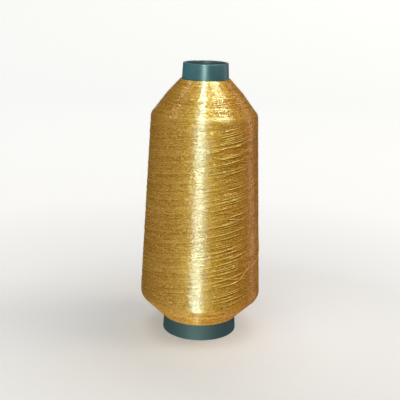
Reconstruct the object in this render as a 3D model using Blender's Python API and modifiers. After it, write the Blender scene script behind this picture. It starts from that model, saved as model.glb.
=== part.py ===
"""A cone of metallic thread: a tapered plastic tube, its cross-wound package and the slack end of the thread.

The origin is the centre of the tube's base rim and +Z runs up the tube's axis.
"""

import math

import bpy

MM = 0.001
OBJECT_NAME = "thread_cone"

# Tube, millimetres
TUBE_HEIGHT = 230.0
BASE_RADIUS = 31.5
NOSE_RADIUS = 18.5
WALL = 2.0
NOSE_LIP = 0.6  # radius of the nose rim's two edges
BASE_LIP = 0.5  # radius of the base rim's two edges

# Winding, millimetres: corners as (radius, height, fillet radius)
WINDING_GAP = 0.3
WINDING_TOP = 217.6
WINDING_BOTTOM = 14.2
TOP_EDGE = 1.2  # how far the winding stands off the tube at its top
BOTTOM_EDGE = 1.0
TOP_EDGE_FILLET = 0.5
SHOULDER_BREAK = (31.0, 206.0, 18.0)
SHOULDER = (44.0, 188.5, 7.0)
HEEL = (51.0, 33.0, 7.0)

# Slack thread, millimetres
THREAD_RADIUS = 0.2
THREAD_GAP = 0.3
THREAD_SPACING = 1.2
THREAD_ROUTE = (  # bearing in degrees from +X, height
    (-66.0, 55.4), (-60.0, 55.7), (-54.0, 56.8), (-48.5, 59.0), (-45.0, 61.8), (-41.0, 64.1),
    (-35.0, 66.1), (-28.0, 67.8), (-20.0, 69.0), (-12.0, 71.0), (-5.0, 75.0), (2.0, 79.5),
    (10.0, 83.0), (20.0, 85.6), (32.0, 87.4),
)

SEGMENTS = 72
ARC_STEP = math.radians(18.0)
SMOOTH_ANGLE = math.radians(35.0)
WELD = 0.00001

TEAL = (0.045, 0.115, 0.145, 1.0)
GOLD = (0.62, 0.36, 0.08, 1.0)
PALE_GOLD = (0.72, 0.46, 0.14, 1.0)


def clear_scene():
    for obj in list(bpy.data.objects):
        bpy.data.objects.remove(obj, do_unlink=True)


def material(name, colour, metallic, roughness):
    mat = bpy.data.materials.new(name)
    mat.use_nodes = True
    shader = mat.node_tree.nodes["Principled BSDF"]
    shader.inputs["Base Color"].default_value = colour
    shader.inputs["Metallic"].default_value = metallic
    shader.inputs["Roughness"].default_value = roughness
    return mat


def tube_radius(height):
    """Outer radius of the tube at a height."""
    return BASE_RADIUS + (NOSE_RADIUS - BASE_RADIUS) * height / TUBE_HEIGHT


def fillet(before, corner, after, radius):
    """Arc points that round one corner of an outline."""
    ax, az = before[0] - corner[0], before[1] - corner[1]
    bx, bz = after[0] - corner[0], after[1] - corner[1]
    a_len, b_len = math.hypot(ax, az), math.hypot(bx, bz)
    ax, az, bx, bz = ax / a_len, az / a_len, bx / b_len, bz / b_len
    half = math.acos(max(-1.0, min(1.0, ax * bx + az * bz))) / 2.0
    reach = radius / math.tan(half)
    mx, mz = ax + bx, az + bz
    m_len = math.hypot(mx, mz)
    centre = (corner[0] + mx / m_len * radius / math.sin(half), corner[1] + mz / m_len * radius / math.sin(half))
    start = math.atan2(corner[1] + az * reach - centre[1], corner[0] + ax * reach - centre[0])
    end = math.atan2(corner[1] + bz * reach - centre[1], corner[0] + bx * reach - centre[0])
    sweep = (end - start + math.pi) % (2.0 * math.pi) - math.pi
    steps = max(2, math.ceil(abs(sweep) / ARC_STEP))
    return [
        (centre[0] + radius * math.cos(start + sweep * i / steps), centre[1] + radius * math.sin(start + sweep * i / steps))
        for i in range(steps + 1)
    ]


def rounded(corners):
    """Closed outline from (radius, height, fillet) corners."""
    outline = []
    count = len(corners)
    for i, (r, z, round_radius) in enumerate(corners):
        if round_radius > 0.0:
            outline += fillet(corners[i - 1][:2], (r, z), corners[(i + 1) % count][:2], round_radius)
        else:
            outline.append((r, z))
    return outline


def turned(name, outline, mat, collection):
    """Solid of revolution about Z from a closed outline that runs down its outer side."""
    mesh = bpy.data.meshes.new(name)
    verts = [(r * MM, 0.0, z * MM) for r, z in outline]
    edges = [(i, (i + 1) % len(verts)) for i in range(len(verts))]
    mesh.from_pydata(verts, edges, [])
    mesh.materials.append(mat)
    obj = bpy.data.objects.new(name, mesh)
    collection.objects.link(obj)
    screw = obj.modifiers.new("turn", "SCREW")
    screw.axis = "Z"
    screw.angle = 2.0 * math.pi
    screw.steps = SEGMENTS
    screw.render_steps = SEGMENTS
    screw.use_merge_vertices = True
    screw.merge_threshold = WELD
    screw.use_smooth_shade = True
    screw.show_viewport = True
    screw.show_render = True
    return obj


def tube_outline():
    bore_nose, bore_base = NOSE_RADIUS - WALL, BASE_RADIUS - WALL
    return rounded([
        (NOSE_RADIUS, TUBE_HEIGHT, NOSE_LIP),
        (BASE_RADIUS, 0.0, BASE_LIP),
        (bore_base, 0.0, BASE_LIP),
        (bore_nose, TUBE_HEIGHT, NOSE_LIP),
    ])


def winding_outer():
    """Corners of the winding's outside, from its top edge to its bottom edge."""
    inner_top = tube_radius(WINDING_TOP) + WINDING_GAP
    inner_bottom = tube_radius(WINDING_BOTTOM) + WINDING_GAP
    return [
        (inner_top + TOP_EDGE, WINDING_TOP, TOP_EDGE_FILLET),
        SHOULDER_BREAK,
        SHOULDER,
        HEEL,
        (inner_bottom + BOTTOM_EDGE, WINDING_BOTTOM, 0.0),
    ]


def winding_outline():
    inner_top = tube_radius(WINDING_TOP) + WINDING_GAP
    inner_bottom = tube_radius(WINDING_BOTTOM) + WINDING_GAP
    return rounded(winding_outer() + [(inner_bottom, WINDING_BOTTOM, 0.0), (inner_top, WINDING_TOP, 0.0)])


def winding_radius(height):
    """Outer radius of the winding's body at a height between its two rounded corners."""
    (top_r, top_z, _), (low_r, low_z, _) = SHOULDER, HEEL
    return low_r + (top_r - low_r) * (height - low_z) / (top_z - low_z)


def catmull(p0, p1, p2, p3, t):
    return tuple(
        0.5 * (2.0 * b + (c - a) * t + (2.0 * a - 5.0 * b + 4.0 * c - d) * t * t + (3.0 * b - a - 3.0 * c + d) * t ** 3)
        for a, b, c, d in zip(p0, p1, p2, p3)
    )


def on_winding(bearing, height):
    """Point of the slack thread's centre line over the winding, metres."""
    r = winding_radius(height) + THREAD_GAP + THREAD_RADIUS
    angle = math.radians(bearing)
    return (r * math.cos(angle) * MM, r * math.sin(angle) * MM, height * MM)


def thread_path():
    """Evenly spaced points on the smooth curve through the route."""
    fine_steps = 40
    ends = [THREAD_ROUTE[0]] + list(THREAD_ROUTE) + [THREAD_ROUTE[-1]]
    fine = [
        on_winding(*catmull(*ends[i:i + 4], s / fine_steps))
        for i in range(len(THREAD_ROUTE) - 1)
        for s in range(fine_steps)
    ]
    fine.append(on_winding(*THREAD_ROUTE[-1]))
    along = [0.0]
    for a, b in zip(fine, fine[1:]):
        along.append(along[-1] + math.dist(a, b))
    count = round(along[-1] / (THREAD_SPACING * MM))
    path, j = [], 0
    for k in range(count + 1):
        want = along[-1] * k / count
        while j < len(fine) - 2 and along[j + 1] < want:
            j += 1
        t = (want - along[j]) / (along[j + 1] - along[j])
        path.append(tuple(a + (b - a) * t for a, b in zip(fine[j], fine[j + 1])))
    return path


def cord(name, path, radius, mat, collection):
    curve = bpy.data.curves.new(name, "CURVE")
    curve.dimensions = "3D"
    curve.bevel_depth = radius * MM
    curve.bevel_resolution = 2
    curve.use_fill_caps = True
    spline = curve.splines.new("POLY")
    spline.points.add(len(path) - 1)
    for point, co in zip(spline.points, path):
        point.co = (*co, 1.0)
    curve.materials.append(mat)
    obj = bpy.data.objects.new(name, curve)
    collection.objects.link(obj)
    return obj


def main():
    clear_scene()
    collection = bpy.data.collections.new(OBJECT_NAME)
    bpy.context.scene.collection.children.link(collection)
    turned("cone_tube", tube_outline(), material("tube_plastic", TEAL, 0.0, 0.3), collection)
    turned("thread_winding", winding_outline(), material("winding_gold", GOLD, 0.9, 0.35), collection)
    cord("thread_end", thread_path(), THREAD_RADIUS, material("loose_gold", PALE_GOLD, 0.9, 0.35), collection)


main()
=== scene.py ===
import math

import bpy
import numpy as np
from mathutils import Euler, Matrix, Vector


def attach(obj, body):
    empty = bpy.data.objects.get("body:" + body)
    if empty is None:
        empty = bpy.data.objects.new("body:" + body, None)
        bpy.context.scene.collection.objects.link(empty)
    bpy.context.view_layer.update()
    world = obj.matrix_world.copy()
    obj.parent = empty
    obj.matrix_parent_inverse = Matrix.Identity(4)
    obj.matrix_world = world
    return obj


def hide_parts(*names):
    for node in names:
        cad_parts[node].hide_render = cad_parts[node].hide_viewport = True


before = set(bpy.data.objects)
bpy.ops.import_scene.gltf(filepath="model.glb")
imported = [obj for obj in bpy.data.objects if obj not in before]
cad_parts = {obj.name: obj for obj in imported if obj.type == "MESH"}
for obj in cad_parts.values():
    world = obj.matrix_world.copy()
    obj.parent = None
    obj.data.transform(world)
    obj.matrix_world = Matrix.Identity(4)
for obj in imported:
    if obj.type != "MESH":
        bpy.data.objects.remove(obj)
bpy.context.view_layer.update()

MM = 0.001
RNG = np.random.default_rng(41)
PHASE_RANGE = 6.28  # radians

# Camera: sensor and lens in millimetres, place in metres, angles in degrees
SENSOR_WIDTH = 36.0
LENS = 74.7
CAMERA_AT = (0.0, -0.6783, 0.2954)
CAMERA_DOWN = 14.93
CAMERA_YAW = 0.16
CAMERA_ROLL = 1.49

# Tube, lengths in millimetres
TUBE_HEIGHT = 230.0
BASE_RADIUS = 31.5
NOSE_RADIUS = 18.5
WALL = 2.0
NOSE_LIP = 0.6  # radius of the nose rim's two edges
FOOT_EDGE = 0.7  # radius of the foot's outer edge
BORE_EDGE = 0.5  # radius of the bore's lower edge
RIM_STEPS = 6
WALL_ROWS = 26

# Ribs round the foot, lengths in millimetres
RIBS = 132
POINTS_PER_RIB = 4
RIB_DEPTH = 0.22
RIB_BOTTOM, RIB_BOTTOM_FADE = 1.5, 1.0
RIB_TOP, RIB_TOP_FADE = 26.0, 4.0
SKIN = 0.4  # how far in from the outside a point still belongs to it

# Winding, lengths in millimetres: (radius, height, fillet radius) from its top edge to its bottom edge
WINDING_CORNERS = (
    (20.4, 216.8, 0.5), (30.8, 205.6, 18.0), (43.9, 188.2, 7.0), (51.0, 33.0, 7.0), (32.0, 14.2, 0.0),
)
FILLET_STEPS = 12
UNDER = 0.35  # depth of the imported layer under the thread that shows
TUBE_GAP = 0.3
BODY_AROUND = 120
PROFILE_POINTS = 900
NORMAL_SMOOTHING = 9
HEEL_HEIGHT, SHOULDER_HEIGHT = 34.0, 188.0

# Wound thread, lengths in millimetres, angles in degrees and waves by the turn
THREAD_RADIUS = 0.28
THREAD_SIDES = 4
END_TAPER = 0.3  # share of the radius at a strand's two ends
HELIX_SAMPLES = 500
TURNAROUND = 3.0  # stretch by a turnaround in which the sway dies out
SWAY_WAVES = (0.7, 1.9, 4.3)
DEPTH_SWAY, DEPTH_WAVES = 0.03, 2.3
BODY_STRANDS, BODY_PITCH, BODY_PITCH_SPREAD = 80, 9.2, 0.08
BODY_DEPTH, BODY_DEPTH_SPREAD = -0.1, 0.15
BODY_BELOW_HEEL, BODY_ABOVE_SHOULDER = 3.0, 4.0
LOW_STAGGER, HIGH_STAGGER = 3.0, 4.0
START_SPREAD, LAST_START_SPREAD = 0.28, 0.3  # share of the gap between starts
LAST_RISING, LAST_FALLING, LAST_PITCH_SPREAD, LAST_SWAY = 20, 1, 0.5, 0.25
LAST_DEPTH, LAST_SHORT = -0.05, 2.0
LAST_PROUD, LAST_PROUD_SPREAD = 0.2, 0.15
END_STRANDS, END_PITCH, END_PITCH_SPREAD = 25, 4.6, 0.2
END_DEPTH, END_DEPTH_SPREAD = -0.05, 0.2
END_STEP, END_EASE = 6.0, 2.5
END_ABOVE_HEEL, END_BELOW_SHOULDER = 1.0, 5.0
HEEL_STAGGER, SHOULDER_STAGGER = 3.0, 8.0

# Last turns that stand proud: bearing and width in degrees, amount. Waves are by the turn
PROUD_PATCHES = ((-61.0, 18.0, 1.0), (75.0, 26.0, 0.7), (-175.0, 24.0, 0.8))
PATCH_CLEAR, PATCH_FADE = 2.0, 10.0  # millimetres from a turnaround
SWELL_LEVEL, SWELL_HEIGHT, SWELL_WAVES = 0.75, 0.9, (8.3, 3.1)
# Painted highlight: how much paler the proud strands, and the slack thread, are painted
PAINTED_PROUD_HIGHLIGHT = 0.75
# Painted shade: how much darker the strands below a proud one are painted
PAINTED_GROOVE_SHADE = -0.8
PAINTED_SHADE_STRANDS = ((-0.6, 0.12, 1.0), (-1.05, 0.08, 0.6))  # strands painted dark below a proud one as the shade of a groove: shift and lift in millimetres, share of the painted shade

# Slack thread, lengths in millimetres
SLACK_RADIUS = 0.2
SLACK_SIDES = 8
SLACK_LIFT = 0.3
SLACK_STEP = 0.6
SLACK_SMOOTHING = 40
SLACK_ROUTE = (  # bearing in degrees from +X, height
    (-66.0, 55.4), (-60.0, 55.7), (-54.0, 56.8), (-48.5, 59.0), (-45.0, 61.8), (-41.0, 64.1),
    (-35.0, 66.1), (-28.0, 67.8), (-20.0, 69.0), (-12.0, 71.0), (-5.0, 75.0), (2.0, 79.5),
    (10.0, 83.0), (20.0, 85.6), (32.0, 87.4),
)

# Thread's colours and facets
GOLD_DARK = (0.42, 0.185, 0.008)
GOLD_MID = (0.76, 0.350, 0.026)
GOLD_LIGHT = (1.00, 0.650, 0.180)
UNDER_DARK = (0.30, 0.14, 0.02)
UNDER_LIGHT = (0.62, 0.34, 0.07)
FACET_LENGTH = 1.0  # millimetres
FACET_SHARE, STRAND_SHARE, CLOUD_SHARE = 0.55, 0.35, 0.2
FACET_SHIFT, FACET_SCATTER = 91.0, 997.0  # keep the facets of different strands apart
GOLD_CLOUD = 28.0  # per metre
GOLD_METAL, UNDER_METAL = 0.14, 0.85
COAT_ROUGHNESS, COAT_IOR = 0.2, 1.5
SHADE_DULLS = 0.8  # how much of the coat a place with painted highlight or painted shade loses
SLACK_TIP, BODY_TIP, END_TIP = 1.0, 0.85, 0.5  # how far the facets lean
UNDER_ROWS, UNDER_SLANT, UNDER_CELLS = 2300.0, 18.0, 60.0  # per metre up, per radian, per radian
ROW_WAVE = 6.2832

# Tube's colours and surface
TEAL_DARK = (0.044, 0.165, 0.215)
TEAL_LIGHT = (0.058, 0.200, 0.255)
# Painted shade darkens the foot and painted light brightens the nose, by height
PAINTED_FOOT_SHADE = (0.56, 0.54, 0.55)
PAINTED_NOSE_LIGHT = (1.55, 1.42, 1.45)
GROOVE_TEAL = (0.012, 0.035, 0.045, 1.0)
# Painted light on the bore's inner wall
PAINTED_BORE_LIGHT = (0.17, 0.30, 0.35, 1.0)
TEAL_CLOUD, TEAL_FINE = 60.0, 900.0  # per metre
TEAL_SPECULAR = 0.35

# Stage, lengths in metres
STAGE_WHITE = (0.80, 0.80, 0.80, 1.0)
STAGE_LIGHT = (0.94, 0.97, 0.985, 1.0)
STAGE_AROUND = 96
FLOOR_RINGS = (0.0, 0.5, 1.0)
FLOOR_REACH, WALL_BEND, WALL_TOP = 1.4, 0.8, 3.0
BEND_STEPS = 14
STAGE_REACH = 2.4
# Painted light: the stage's glow by distance, which also lightens the floor's shade by the object
STAGE_GLOW = (  # distance from the object, glow
    (0.08, 0.225), (0.22, 0.41), (0.45, 0.55), (0.75, 0.59), (1.2, 0.63), (2.2, 0.66),
)
# Centre of a painted pool of light on the floor beside the object, in metres
PAINTED_POOL_CENTRE = (0.08, 0.0, 0.0)

# Surroundings: bearing from the camera's side, positive to its right, and the light from there
WORLD_BEARINGS = (
    (-180.0, (1.10, 1.05, 0.98)),
    (-142.0, (0.04, 0.038, 0.035)),
    (-75.0, (1.02, 1.06, 0.93)),
    (-20.0, (1.08, 1.09, 0.97)),
    (12.0, (0.38, 0.31, 0.23)),
    (50.0, (0.15, 0.095, 0.06)),
    (110.0, (0.50, 0.36, 0.36)),
    (145.0, (0.16, 0.14, 0.16)),
    (180.0, (1.10, 1.05, 0.98)),
)
# Sine of the height above the horizon, and the share of the light
WORLD_HEIGHTS = (
    (-1.0, (2.6, 2.5, 2.35)),
    (-0.6, (1.6, 1.56, 1.48)),
    (-0.2, (0.95, 0.93, 0.90)),
    (0.0, (0.5, 0.5, 0.5)),
    (0.35, (0.4, 0.4, 0.4)),
    (0.7, (0.7, 0.7, 0.7)),
    (1.0, (0.9, 0.9, 0.9)),
)
WORLD_STRENGTH = 0.6

# Lights: name, bearing from the camera's side and height in degrees, distance, width and length in
# metres, watts, colour
KEY_COLOUR = (0.60, 0.93, 0.88)
LIGHT_AIM = (0.0, 0.0, 0.11)
SHINE_LIGHTS = (
    ("front_strip", -5.5, 13.0, 1.2, 0.09, 0.6, 23.5, KEY_COLOUR),
    ("high_strip", -5.5, 58.0, 1.2, 0.09, 0.6, 29.0, (0.58, 0.94, 0.96)),
    ("low_strip", -5.5, -34.0, 1.2, 0.09, 0.6, 30.0, KEY_COLOUR),
    ("top_right", 68.0, 64.0, 1.2, 0.45, 0.45, 31.0, (0.72, 0.97, 0.74)),
    ("top_left", -95.0, 50.0, 1.4, 0.3, 0.3, 3.6, (1.0, 0.93, 0.7)),
    ("right_spot", 56.0, 22.0, 1.6, 0.08, 0.2, 2.4, (1.0, 0.86, 0.66)),
    ("right_strip", 114.0, 8.0, 1.4, 0.3, 1.2, 4.0, (1.0, 0.70, 0.62)),
)
FILL_LIGHTS = (
    ("overhead", 0.0, 88.0, 2.0, 1.8, 1.8, 13.0, (1.0, 1.0, 1.0)),
    ("bounce", 55.0, -52.0, 1.0, 0.5, 0.5, 2.6, (1.0, 0.97, 0.93)),
    ("right_fill", 84.0, 44.0, 2.8, 1.1, 1.1, 13.5, (1.0, 0.82, 0.62)),
)


# ---------------------------------------------------------------- camera
def add_camera():
    data = bpy.data.cameras.new("camera")
    data.sensor_width = SENSOR_WIDTH
    data.lens = LENS
    cam = bpy.data.objects.new("camera", data)
    bpy.context.scene.collection.objects.link(cam)
    aim = Euler((math.radians(90.0 - CAMERA_DOWN), 0.0, math.radians(CAMERA_YAW))).to_matrix().to_4x4()
    roll = Matrix.Rotation(math.radians(CAMERA_ROLL), 4, "Z")
    cam.matrix_world = Matrix.Translation(CAMERA_AT) @ aim @ roll
    bpy.context.scene.camera = cam


# ---------------------------------------------------------------- outlines
def tube_radius(z):
    """Outer radius of the tube at a height."""
    return BASE_RADIUS + (NOSE_RADIUS - BASE_RADIUS) * z / TUBE_HEIGHT


def fillet(before, corner, after, radius, steps):
    """Arc points that round one corner of a line."""
    before, corner, after = (np.array(p, float) for p in (before, corner, after))
    u = (before - corner) / np.linalg.norm(before - corner)
    v = (after - corner) / np.linalg.norm(after - corner)
    half = math.acos(float(np.clip(u @ v, -1.0, 1.0))) / 2.0
    mid = (u + v) / np.linalg.norm(u + v)
    centre = corner + mid * radius / math.sin(half)
    p = corner + u * radius / math.tan(half) - centre
    q = corner + v * radius / math.tan(half) - centre
    start, end = math.atan2(p[1], p[0]), math.atan2(q[1], q[0])
    sweep = (end - start + math.pi) % (2.0 * math.pi) - math.pi
    t = start + sweep * np.linspace(0.0, 1.0, steps + 1)
    return centre + radius * np.stack([np.cos(t), np.sin(t)], -1)


def rounded_line(corners):
    """(radius, height) points of an open line with its inner corners rounded."""
    out = [np.array([corners[0][:2]])]
    for before, corner, after in zip(corners, corners[1:], corners[2:]):
        out.append(fillet(before[:2], corner[:2], after[:2], corner[2], FILLET_STEPS))
    out.append(np.array([corners[-1][:2]]))
    return np.concatenate(out)


class Profile:
    """The winding's outside by distance s along it, from its bottom edge up."""

    def __init__(self):
        line = rounded_line(WINDING_CORNERS)[::-1]
        step = np.linalg.norm(np.diff(line, axis=0), axis=1)
        at = np.concatenate([[0.0], np.cumsum(step)])
        self.length = at[-1]
        self.s = np.linspace(0.0, self.length, PROFILE_POINTS)
        self.r = np.interp(self.s, at, line[:, 0])
        self.z = np.interp(self.s, at, line[:, 1])
        dr, dz = np.gradient(self.r, self.s), np.gradient(self.z, self.s)
        size = np.hypot(dr, dz)
        kernel = np.ones(NORMAL_SMOOTHING) / NORMAL_SMOOTHING
        pad = NORMAL_SMOOTHING // 2
        self.nr = np.convolve(np.pad(dz / size, pad, "edge"), kernel, "valid")
        self.nz = np.convolve(np.pad(-dr / size, pad, "edge"), kernel, "valid")

    def at(self, s, off=0.0):
        """Radius, height and outward normal at s, off millimetres above the surface."""
        r, z = np.interp(s, self.s, self.r), np.interp(s, self.s, self.z)
        nr, nz = np.interp(s, self.s, self.nr), np.interp(s, self.s, self.nz)
        return r + nr * off, z + nz * off, nr, nz

    def s_of(self, z):
        return float(np.interp(z, self.z, self.s))


PROFILE = Profile()
S_HEEL, S_SHOULDER = PROFILE.s_of(HEEL_HEIGHT), PROFILE.s_of(SHOULDER_HEIGHT)


def distances(points):
    """Distance along a line of points, from its first."""
    return np.concatenate([[0.0], np.cumsum(np.linalg.norm(np.diff(points, axis=0), axis=1))])


def catmull(points, per):
    """Dense smooth curve through the given points."""
    p = np.array([points[0], *points, points[-1]], float)
    t = np.arange(per)[:, None] / per
    out = []
    for a, b, c, d in zip(p, p[1:], p[2:], p[3:]):
        square = (2 * a - 5 * b + 4 * c - d) * t ** 2
        cube = (3 * b - a - 3 * c + d) * t ** 3
        out.append(0.5 * (2 * b + (c - a) * t + square + cube))
    return np.concatenate(out + [p[-1:]])


# ---------------------------------------------------------------- meshes
def mesh_object(name, verts, faces):
    mesh = bpy.data.meshes.new(name)
    mesh.from_pydata(verts, [], faces)
    mesh.shade_smooth()
    obj = bpy.data.objects.new(name, mesh)
    bpy.context.scene.collection.objects.link(obj)
    return obj


def lathe(name, outline, around, shape=None):
    """Closed turned mesh from a closed outline in millimetres that runs down its outer side.
    shape(r, z, angle) moves its points."""
    count = len(outline)
    angle = np.linspace(0.0, 2.0 * np.pi, around, endpoint=False)
    r = np.repeat(outline[:, 0][None], around, 0)
    z = np.repeat(outline[:, 1][None], around, 0)
    a = np.repeat(angle[:, None], count, 1)
    if shape:
        r, z = shape(r, z, a)
    verts = np.stack([r * np.cos(a), r * np.sin(a), z], -1).reshape(-1, 3) * MM
    i, j = np.meshgrid(np.arange(around), np.arange(count), indexing="ij")
    i2, j2 = (i + 1) % around, (j + 1) % count
    faces = np.stack([i * count + j, i * count + j2, i2 * count + j2, i2 * count + j], -1)
    return mesh_object(name, verts.tolist(), faces.reshape(-1, 4).tolist())


def strand_faces(count, sides, base):
    """Faces of one closed tube of count rings, whose first point is number base."""
    i, k = np.meshgrid(np.arange(count - 1), np.arange(sides), indexing="ij")
    k2 = (k + 1) % sides
    quads = np.stack([i * sides + k, i * sides + k2, (i + 1) * sides + k2, (i + 1) * sides + k], -1)
    faces = (quads.reshape(-1, 4)[:, ::-1] + base).tolist()
    faces.append([base + k for k in range(sides)])
    faces.append([base + (count - 1) * sides + k for k in reversed(range(sides))])
    return faces


def strand_mesh(name, strands, sides, radius):
    """One mesh of closed thin tubes. Each strand is (points n x 3, outward n x 3, shade n), in millimetres.
    Shade is how much paler than the rest the strand is painted at each point: a painted highlight above 0,
    painted shade below 0."""
    verts, faces, base = [], [], 0
    tag, along, pale, axis, away = [], [], [], [], []
    turn = np.arange(sides) * 2.0 * np.pi / sides
    for points, out, shade in strands:
        count = len(points)
        tangent = np.gradient(points, axis=0)
        tangent /= np.linalg.norm(tangent, axis=1)[:, None]
        side = np.cross(tangent, out)
        side /= np.linalg.norm(side, axis=1)[:, None]
        up = np.cross(side, tangent)
        taper = np.ones(count)
        taper[0] = taper[-1] = END_TAPER
        spokes = up[:, None] * np.cos(turn)[None, :, None] + side[:, None] * np.sin(turn)[None, :, None]
        ring = points[:, None] + spokes * (radius * taper)[:, None, None]
        verts.append(ring.reshape(-1, 3))
        faces += strand_faces(count, sides, base)
        along.append(np.repeat(distances(points), sides))
        # Painted highlight and painted shade of each point
        pale.append(np.repeat(shade, sides))
        axis.append(np.repeat(tangent, sides, 0))
        away.append(np.repeat(up, sides, 0))
        tag.append(np.full(count * sides, RNG.random()))
        base += count * sides
    obj = mesh_object(name, (np.concatenate(verts) * MM).tolist(), faces)
    for key, values in (("strand", tag), ("along", along), ("shade", pale)):
        layer = obj.data.attributes.new(key, "FLOAT", "POINT")
        layer.data.foreach_set("value", np.concatenate(values).astype(np.float32))
    for key, values in (("axis", axis), ("away", away)):
        layer = obj.data.attributes.new(key, "FLOAT_VECTOR", "POINT")
        layer.data.foreach_set("vector", np.concatenate(values).astype(np.float32).ravel())
    return obj


# ---------------------------------------------------------------- wound thread
def patches(theta):
    """How proud the last turns stand at a bearing from +X, and so how much painted highlight and painted
    shade they carry.
    """
    degrees = np.degrees(theta)
    return sum(
        amount * np.exp(-((((degrees - bearing + 180.0) % 360.0 - 180.0) / width) ** 2))
        for bearing, width, amount in PROUD_PATCHES
    )


def random_phase():
    return RNG.uniform(0.0, PHASE_RANGE)


def from_turnaround(s, s0, s1):
    return np.minimum(s - s0, s1 - s)


def helix(s0, s1, pitch, step, ease):
    """Distance along the winding and angle turned, from s0 up to s1, of a thread that slows at both ends."""
    s = np.linspace(s0, s1, HELIX_SAMPLES)
    radius = PROFILE.at(s)[0]
    edge = np.maximum(from_turnaround(s, s0, s1), 1e-3)
    slow = np.sqrt(np.clip(edge / ease, 0.0, 1.0))
    rate = 1.0 / (radius * math.tan(math.radians(pitch)) * slow)
    angle = np.concatenate([[0.0], np.cumsum((rate[1:] + rate[:-1]) / 2.0 * np.diff(s))])
    count = max(8, int(angle[-1] / math.radians(step)))
    turned = np.linspace(0.0, angle[-1], count + 1)
    return np.interp(turned, angle, s), turned


def proud_places(theta, along, s0, s1):
    """How far each point of a last turn stands out, from 0 to the patch's amount. The painted highlight and
    painted shade follow it.
    """
    first, second = (np.sin(theta * waves + random_phase()) for waves in SWELL_WAVES)
    swell = SWELL_LEVEL + SWELL_HEIGHT * first * second
    inland = np.clip((from_turnaround(along, s0, s1) - PATCH_CLEAR) / PATCH_FADE, 0.0, 1.0)
    return patches(theta) * np.clip(swell, 0.0, 1.0) * inland


def wound(s0, s1, pitch, start, rising, depth, step=5.0, ease=6.0, sway=0.07, proud=0.0):
    """Strands of one thread wound between s0 and s1 at a helix angle. A proud thread stands out of the
    surface in patches and is painted paler there, a painted highlight, with strands below it painted darker
    as the shade of a groove."""
    along, turned = helix(s0, s1, pitch, step, ease)
    theta = start + (turned if rising else -turned)
    waves = sum(RNG.normal(0.0, sway) * np.sin(theta * f + random_phase()) for f in SWAY_WAVES)
    calm = np.clip(from_turnaround(along, s0, s1) / TURNAROUND, 0.0, 1.0)
    along = np.clip(along + waves * calm, s0, s1)
    off = depth + DEPTH_SWAY * np.sin(theta * DEPTH_WAVES + random_phase())
    where = proud_places(theta, along, s0, s1) if proud else np.zeros(len(theta))

    def lay(shift, lift, shade):
        r, z, nr, nz = PROFILE.at(np.clip(along + shift, s0, s1), off + lift)
        points = np.stack([r * np.cos(theta), r * np.sin(theta), z], -1)
        outward = np.stack([nr * np.cos(theta), nr * np.sin(theta), nz], -1)
        return points, outward, shade

    # The proud strand carries a painted highlight, the strands below it carry painted shade
    strands = [lay(0.0, where * proud, where * PAINTED_PROUD_HIGHLIGHT)]
    if proud:
        for shift, lift, share in PAINTED_SHADE_STRANDS:
            strands.append(lay(shift, lift * where, where * PAINTED_GROOVE_SHADE * share))
    return strands


def starts(count, spread=START_SPREAD):
    """Evenly spread but uneven starting bearings."""
    return (np.arange(count) + RNG.normal(0.0, spread, count)) * 2.0 * np.pi / count


def body_turns():
    """Strands of the rising turns, the falling turns and the last turns of the body."""
    rising, falling, last = [], [], []
    s0, s1 = S_HEEL - BODY_BELOW_HEEL, S_SHOULDER + BODY_ABOVE_SHOULDER
    for bag, up, last_count in ((rising, True, LAST_RISING), (falling, False, LAST_FALLING)):
        for start in starts(BODY_STRANDS):
            low, high = s0 + RNG.random() * LOW_STAGGER, s1 - RNG.random() * HIGH_STAGGER
            pitch = RNG.normal(BODY_PITCH, BODY_PITCH_SPREAD)
            depth = BODY_DEPTH - RNG.random() * BODY_DEPTH_SPREAD
            bag += wound(low, high, pitch, start, up, depth)
        for start in starts(last_count, LAST_START_SPREAD):
            proud = LAST_PROUD + RNG.random() * LAST_PROUD_SPREAD
            pitch = RNG.normal(BODY_PITCH, LAST_PITCH_SPREAD)
            last += wound(s0, s1 - LAST_SHORT, pitch, start, up, LAST_DEPTH, sway=LAST_SWAY, proud=proud)
    return rising, falling, last


def end_turns():
    """Strands of the two cone-shaped ends. Those of the heel turn back unevenly at its top, those of the
    shoulder at its bottom."""
    ends = []
    heel = (0.0, S_HEEL + END_ABOVE_HEEL, 0.0, HEEL_STAGGER)
    shoulder = (S_SHOULDER - END_BELOW_SHOULDER, PROFILE.length, SHOULDER_STAGGER, 0.0)
    for s0, s1, low_stagger, high_stagger in (heel, shoulder):
        for up in (True, False):
            for start in starts(END_STRANDS):
                uneven = RNG.random()
                low, high = s0 + uneven * low_stagger, s1 - uneven * high_stagger
                pitch = RNG.normal(END_PITCH, END_PITCH_SPREAD)
                depth = END_DEPTH - RNG.random() * END_DEPTH_SPREAD
                ends += wound(low, high, pitch, start, up, depth, END_STEP, END_EASE)
    return ends


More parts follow.
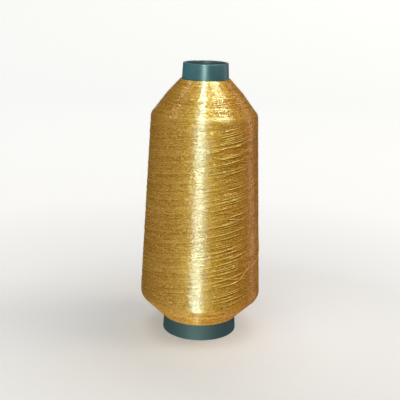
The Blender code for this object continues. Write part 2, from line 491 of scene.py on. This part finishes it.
# ---------------------------------------------------------------- materials
class Nodes:
    """Short forms for building a node tree."""

    def __init__(self, name):
        self.mat = bpy.data.materials.new(name)
        self.mat.use_nodes = True
        self.tree = self.mat.node_tree
        self.tree.nodes.clear()
        self.out = self.node("ShaderNodeOutputMaterial")
        self.shader = self.node("ShaderNodeBsdfPrincipled")
        self.link(self.shader.outputs[0], self.out.inputs["Surface"])

    def node(self, kind, **values):
        n = self.tree.nodes.new(kind)
        for key, value in values.items():
            setattr(n, key, value)
        return n

    def link(self, a, b):
        self.tree.links.new(a, b)

    def put(self, socket, value):
        if isinstance(value, bpy.types.NodeSocket):
            self.link(value, socket)
        else:
            socket.default_value = value

    def shade(self, name, value):
        """Sets or links one of the shader's own sockets."""
        self.put(self.shader.inputs[name], value)

    def math(self, op, a, b=0.0, clamp=False):
        n = self.node("ShaderNodeMath", operation=op, use_clamp=clamp)
        self.put(n.inputs[0], a)
        self.put(n.inputs[1], b)
        return n.outputs[0]

    def vmath(self, op, a, b=None, scale=None):
        n = self.node("ShaderNodeVectorMath", operation=op)
        self.put(n.inputs[0], a)
        if b is not None:
            self.put(n.inputs[1], b)
        if scale is not None:
            self.put(n.inputs["Scale"], scale)
        return n.outputs["Value" if op == "LENGTH" else "Vector"]

    def attribute(self, name, output="Fac"):
        return self.node("ShaderNodeAttribute", attribute_name=name).outputs[output]

    def coords(self):
        return self.node("ShaderNodeTexCoord").outputs["Object"]

    def xyz(self, vector):
        n = self.node("ShaderNodeSeparateXYZ")
        self.put(n.inputs[0], vector)
        return n.outputs[0], n.outputs[1], n.outputs[2]

    def noise(self, vector, scale, detail):
        n = self.node("ShaderNodeTexNoise")
        self.put(n.inputs["Vector"], vector)
        n.inputs["Scale"].default_value = scale
        n.inputs["Detail"].default_value = detail
        return n.outputs["Fac"]

    def white(self, vector):
        n = self.node("ShaderNodeTexWhiteNoise", noise_dimensions="3D")
        self.put(n.inputs["Vector"], vector)
        return n.outputs["Value"], n.outputs["Color"]

    def split(self, colour):
        n = self.node("ShaderNodeSeparateColor")
        self.put(n.inputs[0], colour)
        return n.outputs[:3]

    def combine(self, x, y, z=0.0):
        n = self.node("ShaderNodeCombineXYZ")
        for socket, value in zip(n.inputs, (x, y, z)):
            self.put(socket, value)
        return n.outputs[0]

    def range(self, value, a, b, c, d):
        """Maps a..b to c..d and holds there."""
        n = self.node("ShaderNodeMapRange", clamp=True)
        for socket, v in zip(n.inputs, (value, a, b, c, d)):
            self.put(socket, v)
        return n.outputs[0]

    def ramp(self, value, *stops):
        n = self.node("ShaderNodeValToRGB")
        self.put(n.inputs[0], value)
        fill_ramp(n.color_ramp, stops)
        return n.outputs[0]

    def mix(self, fac, a, b, blend="MIX"):
        n = self.node("ShaderNodeMix", data_type="RGBA", blend_type=blend)
        self.put(n.inputs["Factor"], fac)
        self.put(n.inputs[6], a)
        self.put(n.inputs[7], b)
        return n.outputs[2]

    def bump(self, height, strength, distance, normal=None):
        n = self.node("ShaderNodeBump")
        n.inputs["Strength"].default_value = strength
        n.inputs["Distance"].default_value = distance
        self.put(n.inputs["Height"], height)
        if normal is not None:
            self.put(n.inputs["Normal"], normal)
        return n.outputs[0]


def fill_ramp(ramp, stops):
    """Gives a colour ramp its (position, colour) stops."""
    while len(ramp.elements) < len(stops):
        ramp.elements.new(0.5)
    for element, (at, colour) in zip(ramp.elements, stops):
        element.position = at
        element.color = (*colour, 1.0)


def tipped_normal(n, random_colour, about, along, axis, away, flat):
    """A facet's normal, rolled by chance about the strand's axis. Along the axis most facets lean only a
    little and a few lean far, which are the sparks."""
    round_part = n.vmath("SCALE", n.node("ShaderNodeNewGeometry").outputs["Normal"], scale=1.0 - flat)
    facing = n.vmath("ADD", round_part, n.vmath("SCALE", away, scale=flat))
    red, green, _ = n.split(random_colour)
    side = n.vmath("NORMALIZE", n.vmath("CROSS_PRODUCT", axis, away))
    roll = n.math("MULTIPLY", n.math("SUBTRACT", red, 0.5), 2.0 * about)
    off = n.math("SUBTRACT", n.math("MULTIPLY", green, 2.0), 1.0)
    lean = n.math("MULTIPLY", n.math("MULTIPLY", off, n.math("MULTIPLY", off, off)), along)
    tipped = n.vmath("ADD", facing, n.vmath("SCALE", side, scale=roll))
    return n.vmath("NORMALIZE", n.vmath("ADD", tipped, n.vmath("SCALE", axis, scale=lean)))


def thread_material(name, tip):
    """Gold film wrapped round a core, partly under a clear coat. Each short facet has its own tone and
    leans its own way, and the pale ones are the ones that shine. Proud strands are painted paler as a
    highlight and the strands below them darker as shade."""
    n = Nodes(name)
    strand, along, shade = n.attribute("strand"), n.attribute("along"), n.attribute("shade")
    facets = n.math("DIVIDE", along, FACET_LENGTH)
    cell = n.math("FLOOR", n.math("ADD", facets, n.math("MULTIPLY", strand, FACET_SHIFT)))
    value, colour = n.white(n.combine(cell, n.math("MULTIPLY", strand, FACET_SCATTER)))
    cloud = n.math("MULTIPLY", n.noise(n.coords(), GOLD_CLOUD, 3.0), CLOUD_SHARE)
    tone = n.math("ADD", n.math("MULTIPLY", value, FACET_SHARE), n.math("MULTIPLY", strand, STRAND_SHARE))
    # Shade adds the painted highlight of proud strands and the painted shade of the strands below them
    tone = n.math("ADD", n.math("ADD", tone, cloud), shade, clamp=True)
    n.shade("Base Color", n.ramp(tone, (0.25, GOLD_DARK), (0.55, GOLD_MID), (0.9, GOLD_LIGHT)))
    n.shade("Metallic", GOLD_METAL)
    n.shade("Specular IOR Level", 0.0)
    n.shade("Roughness", n.range(n.split(colour)[2], 0.0, 1.0, 0.4, 0.52))
    painted_mark = n.math("MULTIPLY", n.math("ABSOLUTE", shade), SHADE_DULLS)
    bare = n.math("SUBTRACT", 1.0, painted_mark, clamp=True)
    n.shade("Coat Weight", n.math("MULTIPLY", n.range(tone, 0.22, 0.6, 0.03, 1.0), bare))
    n.shade("Coat Roughness", COAT_ROUGHNESS)
    n.shade("Coat IOR", COAT_IOR)
    axis, away = n.attribute("axis", "Vector"), n.attribute("away", "Vector")
    n.shade("Normal", tipped_normal(n, colour, 0.5 * tip, 0.5 * tip, axis, away, 0.3))
    n.shade("Coat Normal", tipped_normal(n, colour, 0.4 * tip, 0.16 * tip, axis, away, 0.6))
    return n.mat


def under_material():
    """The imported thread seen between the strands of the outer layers."""
    n = Nodes("under_gold")
    x, y, z = n.xyz(n.coords())
    angle = n.math("ARCTAN2", y, x)
    rows = n.math("ADD", n.math("MULTIPLY", z, UNDER_ROWS), n.math("MULTIPLY", angle, UNDER_SLANT))
    cell = n.math("FLOOR", n.math("MULTIPLY", angle, UNDER_CELLS))
    value, colour = n.white(n.combine(n.math("FLOOR", rows), cell))
    n.shade("Base Color", n.ramp(value, (0.0, UNDER_DARK), (1.0, UNDER_LIGHT)))
    n.shade("Metallic", UNDER_METAL)
    n.shade("Roughness", n.range(value, 0.0, 1.0, 0.35, 0.5))
    wave = n.math("SINE", n.math("MULTIPLY", rows, ROW_WAVE))
    axis = n.vmath("NORMALIZE", n.combine(n.math("MULTIPLY", y, -1.0), x))
    away = n.vmath("NORMALIZE", n.combine(x, y))
    n.shade("Normal", n.bump(wave, 0.5, 0.0001, tipped_normal(n, colour, 0.6, 0.4, axis, away, 0.0)))
    return n.mat


def tube_colour(n, cloud, x, y, z):
    """Clouded teal: painted shade darker towards the foot and painted light paler towards the nose, darker
    in its grooves, and painted light paler in the bore.
    """
    colour = n.ramp(cloud, (0.3, TEAL_DARK), (0.75, TEAL_LIGHT))
    height = n.math("DIVIDE", z, TUBE_HEIGHT * MM)
    # Painted shade darkens the foot and painted light brightens the nose
    colour = n.mix(1.0, colour, n.ramp(height, (0.08, PAINTED_FOOT_SHADE), (0.93, PAINTED_NOSE_LIGHT)), "MULTIPLY")
    ripple = n.math("COSINE", n.math("MULTIPLY", n.math("ARCTAN2", y, x), RIBS))
    groove = n.math("ADD", n.math("MULTIPLY", ripple, -0.5), 0.5)
    ribbed = n.range(z, (RIB_TOP - RIB_TOP_FADE) * MM, RIB_TOP * MM, 0.45, 0.0)
    colour = n.mix(n.math("MULTIPLY", groove, ribbed), colour, GROOVE_TEAL)
    narrowing = n.math("MULTIPLY", z, (BASE_RADIUS - NOSE_RADIUS) / TUBE_HEIGHT)
    outside = n.math("SUBTRACT", BASE_RADIUS * MM, narrowing)
    depth = n.math("SUBTRACT", outside, n.vmath("LENGTH", n.combine(x, y)))
    # Painted light on the bore's inner wall
    return n.mix(n.range(depth, 0.0008, 0.0016, 0.0, 1.0), colour, PAINTED_BORE_LIGHT)


def tube_material():
    """Teal moulded plastic: slight clouding, a paler nose and a darker foot painted as light and shade, a
    rougher ribbed foot.
    """
    n = Nodes("teal_plastic")
    coords = n.coords()
    cloud, fine = n.noise(coords, TEAL_CLOUD, 3.0), n.noise(coords, TEAL_FINE, 2.0)
    x, y, z = n.xyz(coords)
    n.shade("Base Color", tube_colour(n, cloud, x, y, z))
    rough = n.math("ADD", n.range(cloud, 0.3, 0.7, 0.3, 0.38), n.math("MULTIPLY", fine, 0.08))
    n.shade("Roughness", n.math("ADD", rough, n.range(z, 0.024, 0.030, 0.28, 0.0)))
    n.shade("Specular IOR Level", TEAL_SPECULAR)
    relief = n.math("ADD", n.math("MULTIPLY", cloud, 0.6), n.math("MULTIPLY", fine, 0.15))
    n.shade("Normal", n.bump(relief, 0.25, 0.0006))
    return n.mat


def stage_material():
    """Matt white that glows as painted light, more and more away from the object so that the far part is
    nearly white, with a painted pool of light beside the object.
    """
    n = Nodes("stage_white")
    n.shade("Base Color", STAGE_WHITE)
    n.shade("Roughness", 0.8)
    n.shade("Specular IOR Level", 0.0)
    n.shade("Emission Color", STAGE_LIGHT)
    reach = n.math("DIVIDE", n.vmath("LENGTH", n.coords()), STAGE_REACH)
    glow = [(at / STAGE_REACH, (value,) * 3) for at, value in STAGE_GLOW]
    # A painted pool of light on the floor beside the object
    from_painted_pool = n.vmath("LENGTH", n.vmath("SUBTRACT", n.coords(), n.combine(*PAINTED_POOL_CENTRE)))
    lift = n.range(from_painted_pool, 0.02, 0.14, 0.17, 0.0)
    n.shade("Emission Strength", n.math("ADD", n.ramp(reach, *glow), lift))
    return n.mat


# ---------------------------------------------------------------- pieces
def slack_points():
    """Evenly spaced points of the slack thread's middle line, and its length."""
    route = catmull(SLACK_ROUTE, SLACK_SMOOTHING)
    top, low = WINDING_CORNERS[2], WINDING_CORNERS[3]
    surface = low[0] + (top[0] - low[0]) * (route[:, 1] - low[1]) / (top[1] - low[1])
    r = surface + SLACK_LIFT + SLACK_RADIUS
    a = np.radians(route[:, 0])
    fine = np.stack([r * np.cos(a), r * np.sin(a), route[:, 1]], -1)
    at = distances(fine)
    want = np.linspace(0.0, at[-1], round(at[-1] / SLACK_STEP) + 1)
    return np.stack([np.interp(want, at, fine[:, i]) for i in range(3)], -1), float(at[-1])


def slack_thread():
    """The slack end, lying over the winding."""
    points, length = slack_points()
    out = points * (1.0, 1.0, 0.0)
    out /= np.linalg.norm(out, axis=1)[:, None]
    # The slack thread is painted paler all along, a painted highlight
    strand = (points, out, np.full(len(points), PAINTED_PROUD_HIGHLIGHT))
    obj = strand_mesh("slack_thread", [strand], SLACK_SIDES, SLACK_RADIUS)
    obj.data.materials.append(thread_material("slack_gold", SLACK_TIP))
    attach(obj, "root")
    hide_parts("thread_end")


def winding_piece(obj, material):
    obj.data.materials.append(material)
    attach(obj, "root")
    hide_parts("thread_winding")


def winding_body():
    """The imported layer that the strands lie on."""
    outer = rounded_line(WINDING_CORNERS)
    normal = [np.interp(outer[:, 1], PROFILE.z, values) for values in (PROFILE.nr, PROFILE.nz)]
    outer = outer - np.stack(normal, -1) * UNDER
    z_top, z_low = outer[0, 1], outer[-1, 1]
    inner = np.array([[tube_radius(z_low) + TUBE_GAP, z_low], [tube_radius(z_top) + TUBE_GAP, z_top]])
    return lathe("winding_body", np.concatenate([outer, inner]), BODY_AROUND)


def add_winding():
    winding_piece(winding_body(), under_material())
    rising, falling, last = body_turns()
    ends = end_turns()
    body_gold = thread_material("thread_gold", BODY_TIP)
    end_gold = thread_material("thread_gold_ends", END_TIP)
    for name, strands, material in (
        ("winding_rising", rising, body_gold),
        ("winding_falling", falling, body_gold),
        ("winding_last", last, body_gold),
        ("winding_ends", ends, end_gold),
    ):
        winding_piece(strand_mesh(name, strands, THREAD_SIDES, THREAD_RADIUS), material)


def tube_outline():
    """Closed outline of the tube's wall, with rows of points down both its long sides."""
    loop = (
        (NOSE_RADIUS, TUBE_HEIGHT, NOSE_LIP),
        (BASE_RADIUS, 0.0, FOOT_EDGE),
        (BASE_RADIUS - WALL, 0.0, BORE_EDGE),
        (NOSE_RADIUS - WALL, TUBE_HEIGHT, NOSE_LIP),
    )
    outline = []
    for i, corner in enumerate(loop):
        after = loop[(i + 1) % 4]
        outline.append(fillet(loop[i - 1][:2], corner[:2], after[:2], corner[2], RIM_STEPS))
        if corner[1] != after[1]:
            z = np.linspace(corner[1], after[1], WALL_ROWS)[1:-1]
            t = (z - corner[1]) / (after[1] - corner[1])
            outline.append(np.stack([corner[0] + (after[0] - corner[0]) * t, z], -1))
    return np.concatenate(outline)


def flutes(r, z, a):
    """Cuts the foot's ribs into the outside, fading out above and below."""
    outside = r > tube_radius(z) - SKIN
    low = np.clip((z - RIB_BOTTOM) / RIB_BOTTOM_FADE, 0.0, 1.0)
    high = np.clip((RIB_TOP - z) / RIB_TOP_FADE, 0.0, 1.0)
    return r - np.where(outside, RIB_DEPTH * low * high * (0.5 - 0.5 * np.cos(a * RIBS)), 0.0), z


def add_tube():
    tube = lathe("tube", tube_outline(), RIBS * POINTS_PER_RIB, flutes)
    tube.data.materials.append(tube_material())
    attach(tube, "root")
    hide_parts("cone_tube")


# ---------------------------------------------------------------- stage and lights
def stage_sheet(name, line):
    """Open turned sheet from a (radius, height) line that starts on the axis."""
    verts, faces, rows = [], [], []
    angles = np.linspace(0, 2 * math.pi, STAGE_AROUND, endpoint=False)
    for r, z in line:
        rows.append(len(verts))
        if r == 0.0:
            verts.append((0.0, 0.0, z))
        else:
            verts += [(r * math.cos(a), r * math.sin(a), z) for a in angles]
    for (r, _), lo, hi in zip(line, rows, rows[1:]):
        for i in range(STAGE_AROUND):
            i2 = (i + 1) % STAGE_AROUND
            faces.append((lo, hi + i, hi + i2) if r == 0.0 else (lo + i, hi + i, hi + i2, lo + i2))
    return mesh_object(name, verts, faces)


def add_stage():
    """A pale floor that turns up into a wall all round, far away, as one sheet left out of reflections."""
    flat = [(r, 0.0) for r in FLOOR_RINGS]
    bend = [
        (FLOOR_REACH + WALL_BEND * math.sin(t), WALL_BEND - WALL_BEND * math.cos(t))
        for t in np.linspace(0.0, math.pi / 2, BEND_STEPS)
    ]
    sheet = stage_sheet("floor", flat + bend + [(FLOOR_REACH + WALL_BEND, WALL_TOP)])
    sheet.data.materials.append(stage_material())
    sheet.visible_glossy = sheet.visible_diffuse = sheet.visible_shadow = False


def area_light(name, bearing, elevation, distance, width, length, power, colour):
    """Soft box aimed at the object. Bearing 0 is the camera's side, positive towards the camera's right."""
    data = bpy.data.lights.new(name, "AREA")
    data.shape = "RECTANGLE"
    data.size, data.size_y = width, length
    data.energy = power
    data.color = colour
    obj = bpy.data.objects.new(name, data)
    bpy.context.scene.collection.objects.link(obj)
    a, e = math.radians(bearing), math.radians(elevation)
    back = Vector((math.sin(a) * math.cos(e), -math.cos(a) * math.cos(e), math.sin(e)))
    obj.location = Vector(LIGHT_AIM) + back * distance
    obj.rotation_mode = "QUATERNION"
    obj.rotation_quaternion = (-back).to_track_quat("-Z", "Y")
    obj.visible_camera = False
    return obj


def light_ramp(tree, value, low, high, stops):
    """Colour of the light by a value between low and high."""
    scale = tree.nodes.new("ShaderNodeMapRange")
    ramp = tree.nodes.new("ShaderNodeValToRGB")
    scale.inputs["From Min"].default_value = low
    scale.inputs["From Max"].default_value = high
    tree.links.new(value, scale.inputs[0])
    tree.links.new(scale.outputs[0], ramp.inputs[0])
    fill_ramp(ramp.color_ramp, [((at - low) / (high - low), colour) for at, colour in stops])
    return ramp.outputs[0]


def studio_world():
    """Surroundings: their light by bearing from the camera's side times their light by height."""
    world = bpy.data.worlds.new("studio")
    bpy.context.scene.world = world
    world.use_nodes = True
    tree = world.node_tree
    back = tree.nodes["Background"]

    def math_node(op, factor=None):
        n = tree.nodes.new("ShaderNodeMath")
        n.operation = op
        if factor is not None:
            n.inputs[1].default_value = factor
        return n

    coords, split = tree.nodes.new("ShaderNodeTexCoord"), tree.nodes.new("ShaderNodeSeparateXYZ")
    flip, turn = math_node("MULTIPLY", -1.0), math_node("ARCTAN2")
    degrees = math_node("MULTIPLY", 180.0 / math.pi)
    both = tree.nodes.new("ShaderNodeMix")
    both.data_type = "RGBA"
    both.blend_type = "MULTIPLY"
    both.inputs["Factor"].default_value = 1.0
    tree.links.new(coords.outputs["Generated"], split.inputs[0])
    tree.links.new(split.outputs[1], flip.inputs[0])
    tree.links.new(split.outputs[0], turn.inputs[0])
    tree.links.new(flip.outputs[0], turn.inputs[1])
    tree.links.new(turn.outputs[0], degrees.inputs[0])
    tree.links.new(light_ramp(tree, degrees.outputs[0], -180.0, 180.0, WORLD_BEARINGS), both.inputs[6])
    tree.links.new(light_ramp(tree, split.outputs[2], -1.0, 1.0, WORLD_HEIGHTS), both.inputs[7])
    tree.links.new(both.outputs[2], back.inputs["Color"])
    back.inputs["Strength"].default_value = WORLD_STRENGTH


def add_lights():
    """Surroundings, lights that only make highlights, and lights that make none."""
    studio_world()
    for row in SHINE_LIGHTS:
        area_light(*row).visible_diffuse = False
    for row in FILL_LIGHTS:
        area_light(*row).visible_glossy = False
    bpy.context.scene.view_settings.view_transform = "Standard"
    bpy.context.scene.cycles.denoising_prefilter = "NONE"


def main():
    add_camera()
    slack_thread()
    add_winding()
    add_tube()
    add_stage()
    add_lights()


main()
